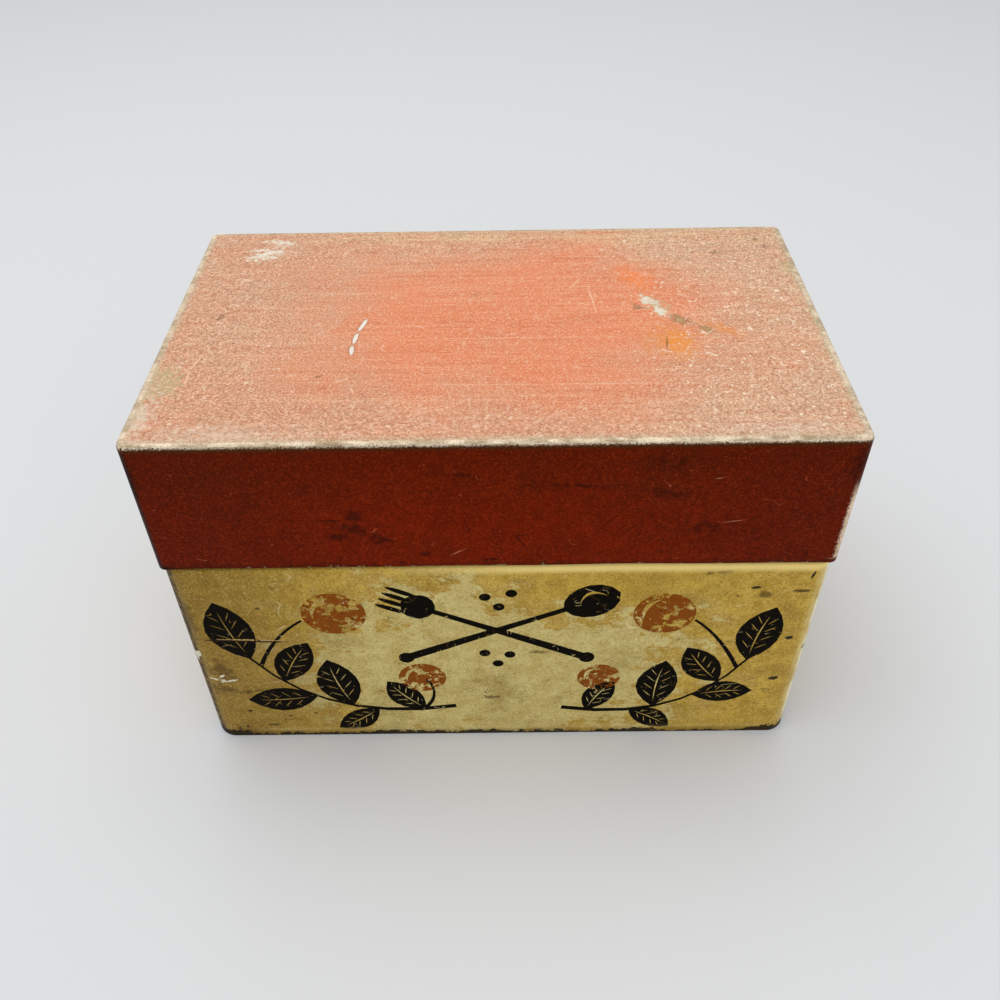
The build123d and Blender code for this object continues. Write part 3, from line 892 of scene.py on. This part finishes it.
def top_print(name):
    """The lid's top: salmon, most orange in the middle, greyed and scuffed at its edges; the salmon
    is partly fading and partly a painted sheen.
    """
    paint = Finish(name)
    grain = paint.clouds(GRAIN, 3.0, 0.62)
    torn = paint.math("SUBTRACT", paint.clouds(22.0, 6.0, 0.64), 0.5)
    middle = paint.oval((3.5, MIDDLE_Y + 0.6, TOP_Z), (63, 45, 40))
    faded = paint.rise(paint.math("MULTIPLY_ADD", torn, 0.9, middle), 0.38, 1.04)
    # Painted sheen: the top's salmon is painted far lighter than the skirts' red, partly real
    # fading and partly the light falling on the top.
    salmon_and_sheen = paint.coat(faded, tone(228, 136, 96), tone(208, 171, 141))
    rosy = paint.both(paint.rise(paint.x, 38, 0), faded)
    rosy = paint.both(rosy, paint.level(paint.rise(paint.y, -8, -30), 0.48, 0.68))
    salmon_and_sheen = paint.coat(rosy, salmon_and_sheen, tone(208, 146, 116))
    brushed = paint.clouds(1.0, 5.0, 0.7, (0.05, 1, 1))
    dark_streaks = paint.both(paint.rise(brushed, 0.50, 0.34), 0.42)
    salmon_and_sheen = paint.coat(dark_streaks, salmon_and_sheen, tone(192, 102, 68))
    light_streaks = paint.both(paint.rise(brushed, 0.51, 0.68), 0.34)
    salmon_and_sheen = paint.coat(light_streaks, salmon_and_sheen, tone(248, 192, 152))
    greyed = paint.rise(paint.clouds(13.0, 7.0, 0.66), 0.48, 0.66)
    greyed = paint.both(greyed, paint.level(faded, 0.12, 0.50))
    salmon_and_sheen = paint.coat(greyed, salmon_and_sheen, tone(197, 168, 138))
    mottled = paint.rise(paint.clouds(2.0, 6.0, 0.74), 0.36, 0.64)
    salmon_and_sheen = paint.coat(paint.both(mottled, 0.30), salmon_and_sheen, tone(238, 166, 124))
    by_back = paint.both(paint.rise(paint.y, 29, 35), paint.rise(paint.x, -44, -30))
    drawn_out = paint.rise(brushed, 0.44, 0.56)
    salmon_and_sheen = paint.coat(paint.both(drawn_out, by_back, 0.62), salmon_and_sheen, tone(224, 190, 144))
    deep = paint.both(paint.rise(grain, 0.54, 0.28), paint.level(faded, 0.54, 0.86))
    salmon_and_sheen = paint.coat(deep, salmon_and_sheen, paint.coat(faded, tone(196, 102, 64), tone(160, 106, 74)))
    high = paint.both(paint.rise(grain, 0.50, 0.72), paint.level(faded, 0.60, 0.85))
    salmon_and_sheen = paint.coat(high, salmon_and_sheen, tone(250, 212, 180))

    amber = top_marks(
        paint,
        (34.6, -8.0, 9.5, 8.5, 0, 1.4, 1.1),
        (46.6, -5.2, 6.4, 2.2, -34, 1.0, 1.2),
    )
    salmon_and_sheen = paint.coat(paint.both(amber, 0.85), salmon_and_sheen, tone(224, 140, 76))
    fresh = top_marks(paint, (30.4, 15.8, 9.0, 5.0, -58, 1.1, 1.0))
    salmon_and_sheen = paint.coat(paint.both(fresh, 0.72), salmon_and_sheen, tone(246, 140, 82))
    yellow = top_marks(paint, (36.4, -10.6, 4.8, 7.4, 6, 1.1, 0.7))
    salmon_and_sheen = paint.coat(paint.both(yellow, 0.75), salmon_and_sheen, tone(238, 152, 62))

    # Grey-olive patches where the red has gone down to the primer, and burnt-in marks.
    primer = top_marks(
        paint,
        (-64.6, -22.2, 6.4, 7.4, 14, 0.5, 0.9),
        (-64.8, -32.0, 1.9, 6.0, 0, 0.8, 1.4),
        (64.6, 18.8, 2.6, 4.4, 10, 0.9, 1.4),
        (33.8, 3.8, 5.8, 2.4, -62, 0.6, 1.6),
        (66.0, -4.0, 1.6, 30.0, 0, 1.0, 1.6),
        (-9.0, 36.6, 4.0, 2.0, 0, 0.9, 1.6),
    )
    primer = paint.both(primer, paint.rise(grain, 0.64, 0.42))
    salmon_and_sheen = paint.coat(primer, salmon_and_sheen, tone(184, 168, 126))
    for x, y, wide, deep, turn in ((38.2, -1.6, 3.7, 2.0, -40), (43.0, -5.4, 2.6, 1.3, -40)):
        dark_rim = top_marks(paint, (x, y, wide, deep, turn, 0.8, 1.0))
        salmon_and_sheen = paint.coat(paint.both(dark_rim, 0.75), salmon_and_sheen, tone(122, 92, 58))
        core = top_marks(paint, (x, y, wide * 0.7, deep * 0.62, turn, 0.9, 1.5))
        salmon_and_sheen = paint.coat(paint.both(core, 0.8), salmon_and_sheen, tone(188, 158, 112))
    burnt = top_marks(
        paint,
        (34.2, -11.0, 0.28, 4.0, -6, 0.5, 1.1),
        (29.8, 3.4, 1.6, 1.4, 10, 0.9, 1.8),
        (60.4, 32.6, 3.0, 1.0, 14, 1.6, 1.8),
        (61.6, 29.0, 2.4, 1.2, -20, 1.6, 1.8),
        (49.9, 26.7, 1.6, 1.2, -20, 1.2, 1.6),
        (-4.3, 9.1, 1.2, 1.4, 0, 2.2, 1.4),
        (-57.0, 1.4, 0.8, 1.5, 0, 0.9, 1.5),
        (-33.7, -20.2, 1.2, 0.4, 24, 0.5, 0.9),
    )
    salmon_and_sheen = paint.coat(paint.both(burnt, 0.62), salmon_and_sheen, tone(110, 82, 54))

    # Scuffs all over, densest on the right; long straight scratches; scrapes to the metal.
    scuffs = paint.either(
        paint.hairs(1.4, 0.022, 0.42), paint.hairs(2.6, 0.014, 0.46), paint.hairs(4.6, 0.008, 0.40)
    )
    flecks = paint.either(scuffs, paint.specks(1.1, 0.32, 0.42))
    scuffed = paint.level(paint.rise(paint.x, 20, 48), paint.level(faded, 0.36, 0.60), 1.0)
    salmon_and_sheen = paint.coat(paint.both(flecks, scuffed), salmon_and_sheen, tone(250, 226, 200))
    dark_marks = paint.either(paint.specks(3.4, 0.42, 0.26), paint.hairs(5.0, 0.006, 0.34))
    salmon_and_sheen = paint.coat(paint.both(dark_marks, 0.36), salmon_and_sheen, tone(134, 84, 54))
    haze = paint.rise(paint.from_edge(LID_EDGE_Z, TOP_Z), 2.8, 0.8)
    haze = paint.both(haze, paint.rise(grain, 0.36, 0.58))
    salmon_and_sheen = paint.coat(paint.both(haze, 0.68), salmon_and_sheen, tone(208, 190, 160))
    long_scratches = (
        (10.0, -23.6, 42.0, -0.5),
        (2.0, -7.6, 33.0, 0.4),
        (6.0, 16.4, 24.0, -0.8),
        (24.0, 25.5, 17.0, -1.5),
        (-12.0, 20.5, 15.0, 0.8),
        (18.0, 12.2, 13.0, 0.5),
        (-30.0, 10.6, 12.0, 1.2),
        (40.0, -8.2, 16.0, -1.0),
        (-8.0, -28.4, 18.0, 0.2),
    )
    scratches = top_marks(
        paint,
        (-58.1, -15.0, 0.20, 4.0, -14, 0.5, 0.6),
        (-58.8, -20.4, 0.22, 3.0, 2, 0.5, 0.6),
        (20.6, 7.6, 0.20, 6.0, 6, 0.5, 0.7),
        (17.2, 13.4, 0.17, 3.8, -32, 0.5, 0.5),
        *[(x, y, long, 0.09, turn, 0.6, 0.3) for x, y, long, turn in long_scratches],
    )
    salmon_and_sheen = paint.coat(paint.both(scratches, 0.66), salmon_and_sheen, tone(250, 208, 176))
    hazy = top_marks(
        paint,
        (-49.2, 33.6, 5.4, 2.4, -8, 1.1, 1.2),
        (-51.6, 28.4, 7.0, 3.4, 26, 1.2, 1.5),
        (-64.4, -34.0, 3.6, 10.0, -8, 1.2, 1.5),
        (-66.8, -4.0, 2.6, 36.0, 0, 1.4, 0.8),
        (-50.0, -38.0, 21.0, 4.2, 0, 1.8, 1.5),
        (52.0, -38.0, 21.0, 3.6, 0, 1.8, 1.5),
    )
    salmon_and_sheen = paint.coat(paint.both(hazy, 0.62), salmon_and_sheen, tone(232, 212, 192))
    dashes = ((-27.0, -2.0, 2.9, -16), (-28.0, -7.0, 2.3, -7), (-28.3, -11.3, 2.0, 2))
    scraped = top_marks(
        paint,
        (-52.6, 28.6, 5.4, 1.7, 28, 0.7, 1.5),
        (-53.6, 30.4, 3.6, 0.6, 14, 0.8, 2.0),
        (-51.6, 26.8, 3.6, 0.9, 24, 0.9, 2.4),
        (-49.6, 34.0, 4.4, 1.1, -6, 1.0, 2.4),
        (32.4, 5.8, 3.1, 1.9, -56, 0.8, 1.3),
        (34.6, 1.6, 2.9, 1.7, -66, 0.8, 1.3),
    )
    scraped = paint.both(scraped, paint.level(paint.rise(grain, 0.34, 0.52), 0.40, 0.95))
    salmon_and_sheen = paint.coat(scraped, salmon_and_sheen, tone(232, 226, 206))
    for wider, share, colour in ((0.3, 0.5, tone(126, 84, 62)), (0, 0.94, tone(240, 232, 218))):
        rows = [(x, y, 0.52 + wider, long + wider, turn, 0.35, 0.3) for x, y, long, turn in dashes]
        dashed = top_marks(paint, *rows)
        salmon_and_sheen = paint.coat(paint.both(dashed, share), salmon_and_sheen, colour)
    shown, rubbed = worn_bends(paint, salmon_and_sheen)
    height = paint.math("MULTIPLY_ADD", grain, 0.5, 0.5)
    paint.emboss(paint.math("MULTIPLY_ADD", scuffs, -0.4, height), EMBOSS_DEPTH)
    rough = paint.level(faded, 0.46, 0.56)
    paint.show(shown, rough, paint.both(rubbed, 0.35), 0.07, tone(255, 190, 140))
    return paint


skirt_finish = skirt_print("skirt_print")
top_finish = top_print("top_print")
lid_inside = bare_tin("lid_inside", tone(196, 192, 182), tone(166, 162, 152), tone(150, 128, 94))
lid_shape = worked_sheet("lid", Vector((lid_low.x, FRONT_Y, LID_EDGE_Z)), lid_high, lid_dent)
for face in lid_shape.faces:
    centre, normal = face.calc_center_median(), face.normal
    inward = normal.x * centre.x + normal.y * (centre.y - MIDDLE_Y) < -0.01
    under = normal.z < -0.5 and centre.z > LID_HEM_Z
    bare = on_curl(centre) or under or (inward and centre.z > LID_HEM_Z)
    on_top = normal.z > 0.5 and centre.z > TOP_Z - 1
    face.material_index = INSIDE_SLOT if bare else TOP_SLOT if on_top else SKIRT_SLOT
lid_finishes = [skirt_finish, lid_inside, top_finish]
lid = finished_piece(lid_shape, "lid_skin", lid_finishes, "lid")
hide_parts("lid")
even_shading(lid)

# ------------------------------------------------------------------ the studio
# A plain pale floor under soft light from a wide lamp overhead and an even pale room.
FLOOR_HALF = 4
LAMP_AIM = Vector((0, 0, 0.05))
floor_shape = bmesh.new()
bmesh.ops.create_grid(floor_shape, x_segments=1, y_segments=1, size=FLOOR_HALF)
floor_mesh = bpy.data.meshes.new("floor")
floor_shape.to_mesh(floor_mesh)
floor_shape.free()
floor = bpy.data.objects.new("floor", floor_mesh)
bpy.context.scene.collection.objects.link(floor)
floor_paint = bpy.data.materials.new("floor")
floor_paint.use_nodes = True
floor_surface = floor_paint.node_tree.nodes["Principled BSDF"]
floor_surface.inputs["Base Color"].default_value = tone(226, 227, 228)
floor_surface.inputs["Roughness"].default_value = 0.9
floor_surface.inputs["Specular IOR Level"].default_value = 0.1
floor_mesh.materials.append(floor_paint)

room = bpy.data.worlds.new("room")
bpy.context.scene.world = room
room.use_nodes = True
room.node_tree.nodes["Background"].inputs["Color"].default_value = tone(246, 248, 250)
room.node_tree.nodes["Background"].inputs["Strength"].default_value = 0.62


def lamp(name, place, size, power):
    """A square soft lamp that points at the box."""
    light = bpy.data.lights.new(name, "AREA")
    light.size = size
    light.energy = power
    holder = bpy.data.objects.new(name, light)
    toward = (LAMP_AIM - Vector(place)).to_track_quat("-Z", "Y")
    holder.matrix_world = Matrix.Translation(place) @ toward.to_matrix().to_4x4()
    bpy.context.scene.collection.objects.link(holder)


lamp("overhead", (-0.15, 0.10, 0.95), 0.8, 4.2)
lamp("front_fill", (0.35, -0.85, 0.55), 0.7, 1.6)

# The camera stands a little above and in front of the box and looks down at it.
CAMERA_PLACE = (0.002153, -0.172389, 0.193421)
CAMERA_TURN, CAMERA_DOWN, CAMERA_ROLL = (math.radians(angle) for angle in (0.564, 42.223, -1.047))
camera = bpy.data.cameras.new("camera")
camera.lens = 34.61
camera.sensor_width = 36
camera.clip_start = 0.01
viewpoint = bpy.data.objects.new("camera", camera)
viewpoint.matrix_world = (
    Matrix.Translation(CAMERA_PLACE)
    @ Matrix.Rotation(CAMERA_TURN, 4, "Z")
    @ Matrix.Rotation(math.pi / 2 - CAMERA_DOWN, 4, "X")
    @ Matrix.Rotation(CAMERA_ROLL, 4, "Z")
)
bpy.context.scene.collection.objects.link(viewpoint)
bpy.context.scene.camera = viewpoint
bpy.context.scene.view_settings.view_transform = "Standard"

# ------------------------------------------------------------------ the final update
bpy.context.view_layer.update()
